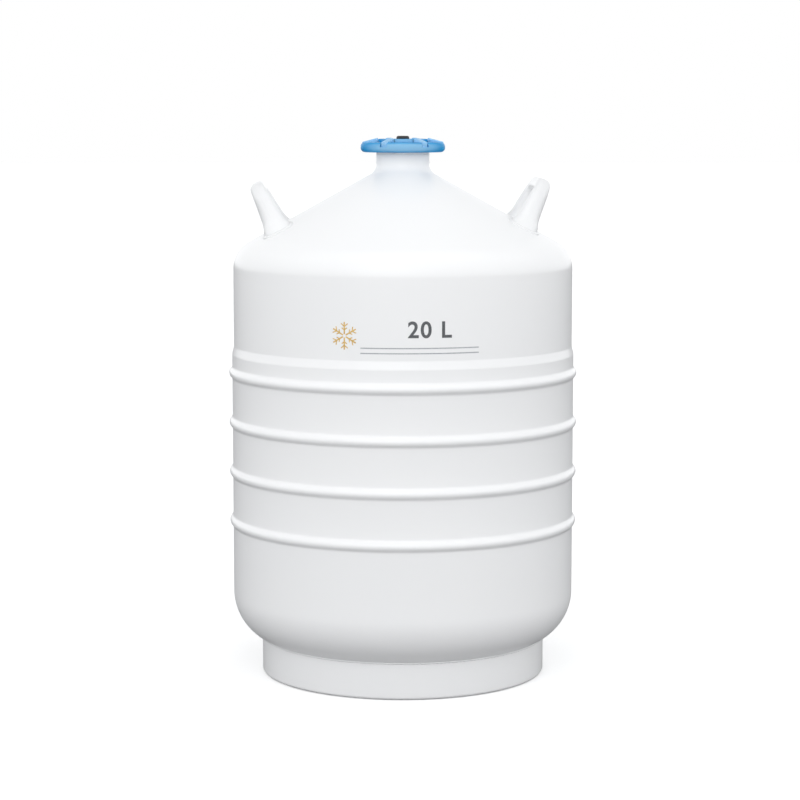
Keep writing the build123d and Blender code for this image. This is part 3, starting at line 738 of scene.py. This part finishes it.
def bars(strokes):
    """Thin plates along strokes, each (start, end, width), cut into short lengths that follow a curve."""
    bm = bmesh.new()
    for start, end, width in strokes:
        start, end = Vector(start), Vector(end)
        steps = max(1, int((end - start).length / 0.002))
        side = Vector((start.y - end.y, end.x - start.x)).normalized() * width / 2
        rings = []
        for k in range(steps + 1):
            p = start.lerp(end, k / steps)
            corners = ((p + side, 0), (p - side, 0), (p - side, INK_T), (p + side, INK_T))
            rings.append([bm.verts.new((q.x, q.y, h)) for q, h in corners])
        for low, high in zip(rings, rings[1:]):
            for i in range(4):
                bm.faces.new((low[i], low[i - 1], high[i - 1], high[i]))
        bm.faces.new(rings[0])
        bm.faces.new(rings[-1])
    return bm


def crystal(radius):
    """Strokes of a six-armed snow crystal."""
    strokes = []
    for k in range(6):
        arm = Vector((cos(pi / 6 + k * pi / 3), sin(pi / 6 + k * pi / 3)))
        side = Vector((-arm.y, arm.x))
        strokes.append((arm * radius * 0.12, arm * radius, 0.0016))
        for at, reach in ((0.42, 0.20), (0.68, 0.26)):
            for way in (-1, 1):
                root = arm * radius * at
                strokes.append((root, root + (arm * 0.8 + side * way) * radius * reach, 0.0012))
    return strokes


def lettering(text, height):
    """Plain built-in letters as a thin mesh, centred, cut into strips so that they can follow a curve."""
    capital_part = 0.70
    curve = bpy.data.curves.new("letters", "FONT")
    curve.body = text
    curve.align_x = "CENTER"
    curve.size = height / capital_part
    curve.extrude = INK_T / 2
    curve.offset = 0.0005
    curve.space_character = 1.12
    obj = bpy.data.objects.new("letters", curve)
    bpy.context.scene.collection.objects.link(obj)
    flat = bpy.data.meshes.new_from_object(obj.evaluated_get(bpy.context.evaluated_depsgraph_get()))
    bpy.data.objects.remove(obj)
    bm = bmesh.new()
    bm.from_mesh(flat)
    reach = max(abs(v.co.x) for v in bm.verts)
    for k in range(int(reach / STRIP) + 1):
        for x in {k * STRIP, -k * STRIP}:
            everything = bm.verts[:] + bm.edges[:] + bm.faces[:]
            bmesh.ops.bisect_plane(bm, geom=everything, plane_co=(x, 0, 0), plane_no=(1, 0, 0))
    for v in bm.verts:
        v.co.z += INK_T / 2
    return bm


wrap_print("front_symbol", bars(crystal(CRYSTAL_R)), CRYSTAL_AZIMUTH, CRYSTAL_Z, GOLD)
capacity = lettering("20 L", CAPACITY_H)
wrap_print("front_capacity", capacity, CAPACITY_AZIMUTH, CAPACITY_TOP_Z - CAPACITY_H / 2, DARK)
rules = [((-RULE_HALF_L, y), (RULE_HALF_L, y), RULE_W) for y in (RULE_HALF_GAP, -RULE_HALF_GAP)]
wrap_print("front_rules", bars(rules), RULES_AZIMUTH, RULES_Z, GREY)


# ---------------------------------------------------------------- welds inside
for level, z in zip(("low", "high"), VESSEL_SEAMS):
    name = f"vessel_weld_{level}"
    joint = ring_points(VESSEL_R - 0.0002, z, INNER_WELD_SEGMENTS)
    weld = bead(joint, VESSEL_WELD_R, ripple=0.12)
    piece(name, from_bmesh(name, weld), SPUN, "vessel")


# ---------------------------------------------------------------- studio
DISTANCE, CAMERA_Z, YAW, PITCH = 2.740, 0.6426, 2.4, 6.8
AIM_LEFT = 0.068
LENS_MM, SENSOR_MM = 107.0, 36.0
WORLD_FRONT, WORLD_BACK = 2.14, 1.30
WORLD_LOW, WORLD_HIGH = 1.80, 0.27
FLOOR_HALF = 30


def look_along(heading, pitch):
    """A rotation that looks along a heading (0 is +Y, turning right), pitched down, in degrees."""
    return Matrix.Rotation(radians(-heading), 4, "Z") @ Matrix.Rotation(radians(90 - pitch), 4, "X")


def studio_camera():
    """The camera, a little to the left of the front and above the neck."""
    camera = bpy.data.cameras.new("camera")
    camera.lens = LENS_MM
    camera.sensor_width = SENSOR_MM
    obj = bpy.data.objects.new("camera", camera)
    bpy.context.scene.collection.objects.link(obj)
    place = Vector((-DISTANCE * sin(radians(YAW)), -DISTANCE * cos(radians(YAW)), CAMERA_Z))
    obj.matrix_world = Matrix.Translation(place) @ look_along(YAW - AIM_LEFT, PITCH)
    return obj


def softbox(name, location, target, size, power):
    """A square area light that faces a target."""
    light = bpy.data.lights.new(name, "AREA")
    light.shape = "RECTANGLE"
    light.size, light.size_y = size, size
    light.energy = power
    obj = bpy.data.objects.new(name, light)
    bpy.context.scene.collection.objects.link(obj)
    obj.location = location
    obj.rotation_euler = (Vector(target) - Vector(location)).to_track_quat("-Z", "Y").to_euler()


def studio_world():
    """White seen directly; as a light, brightest in front and low down, dimmer behind and overhead."""
    world = bpy.data.worlds.new("studio")
    world.use_nodes = True
    tree = world.node_tree
    new, link = tree.nodes.new, tree.links.new
    light = tree.nodes["Background"]
    coords = new("ShaderNodeTexCoord")
    split = new("ShaderNodeSeparateXYZ")
    front = new("ShaderNodeMapRange")
    height = new("ShaderNodeMapRange")
    total = new("ShaderNodeMath")
    link(coords.outputs["Generated"], split.inputs["Vector"])
    for node, axis, low, high in (
        (front, "Y", WORLD_FRONT, WORLD_BACK),
        (height, "Z", WORLD_LOW, WORLD_HIGH),
    ):
        node.inputs["From Min"].default_value = -1
        node.inputs["To Min"].default_value = low
        node.inputs["To Max"].default_value = high
        link(split.outputs[axis], node.inputs["Value"])
    total.operation = "MULTIPLY"
    link(front.outputs["Result"], total.inputs[0])
    link(height.outputs["Result"], total.inputs[1])
    link(total.outputs["Value"], light.inputs["Strength"])
    light.inputs["Color"].default_value = (0.98, 0.99, 1.0, 1)
    seen = new("ShaderNodeBackground")
    seen.inputs["Color"].default_value = (1, 1, 1, 1)
    path = new("ShaderNodeLightPath")
    either = new("ShaderNodeMixShader")
    link(path.outputs["Is Camera Ray"], either.inputs["Fac"])
    link(light.outputs["Background"], either.inputs[1])
    link(seen.outputs["Background"], either.inputs[2])
    link(either.outputs["Shader"], tree.nodes["World Output"].inputs["Surface"])
    return world


def floor_paper():
    """Pale paper: bright where the camera sees it, and a dim matt grey to every other ray."""
    n = Nodes("floor_paper")
    paper = n.finish(
        (0.93, 0.93, 0.93),
        0.8,
        n.bump(n.noise(60.0), 0.0002, 0.2),
        Emission_Color=(1, 1, 1, 1),
        Emission_Strength=0.26,
    )
    dim = n.add("BsdfDiffuse")
    dim.inputs["Color"].default_value = (0.28, 0.28, 0.285, 1)
    either = n.add("MixShader")
    n.link(n.add("LightPath").outputs["Is Camera Ray"], either.inputs["Fac"])
    n.link(dim.outputs["BSDF"], either.inputs[1])
    n.link(n.bsdf.outputs["BSDF"], either.inputs[2])
    n.link(either.outputs["Shader"], n.tree.nodes["Material Output"].inputs["Surface"])
    return paper


def studio_floor():
    """A wide level sheet at Z = 0."""
    mesh = bpy.data.meshes.new("floor")
    bm = bmesh.new()
    bmesh.ops.create_grid(bm, x_segments=2, y_segments=2, size=FLOOR_HALF)
    bm.to_mesh(mesh)
    bm.free()
    mesh.materials.append(floor_paper())
    obj = bpy.data.objects.new("floor", mesh)
    bpy.context.scene.collection.objects.link(obj)
    return obj


bpy.context.scene.camera = studio_camera()
softbox("key", (-0.6, -2.6, 1.6), (0, 0, 0.35), 1.8, 9)
softbox("top", (0.2, -0.4, 2.6), (0, 0, 0.3), 2.2, 5)
bpy.context.scene.world = studio_world()
bpy.context.scene.view_settings.view_transform = "Standard"
floor = studio_floor()
